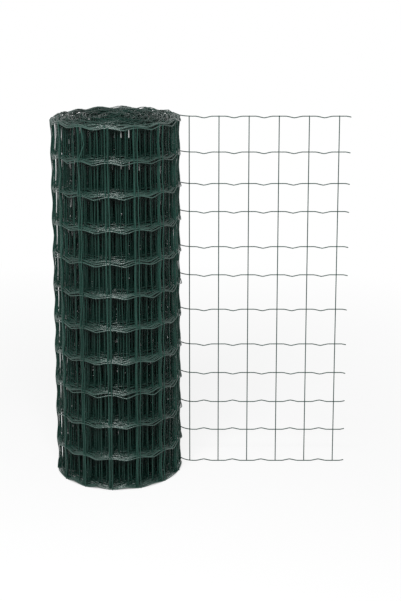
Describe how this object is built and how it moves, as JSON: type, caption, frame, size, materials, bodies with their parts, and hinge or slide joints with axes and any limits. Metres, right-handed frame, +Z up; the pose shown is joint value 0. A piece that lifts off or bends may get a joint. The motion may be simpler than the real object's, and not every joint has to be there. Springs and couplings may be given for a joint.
{
  "type": "roll of wire fencing",
  "caption": "Roll of green coated welded wire fencing standing on end, with its loose end drawn off and run out flat to one side.",
  "frame": {"origin": "on the axis of the roll, at the level of the floor that it stands on", "axes": "+Z up along the axis of the roll, +X the way the loose end runs out, +Y to the back of the roll"},
  "size_m": [0.812, 0.348, 1],
  "materials": {
    "green_coating": "dark bottle-green plastic coating on steel wire, semi-gloss"
  },
  "bodies": {
    "root": {"wound_roll": "green_coating", "loose_end": "green_coating"}
  },
  "joints": []
}
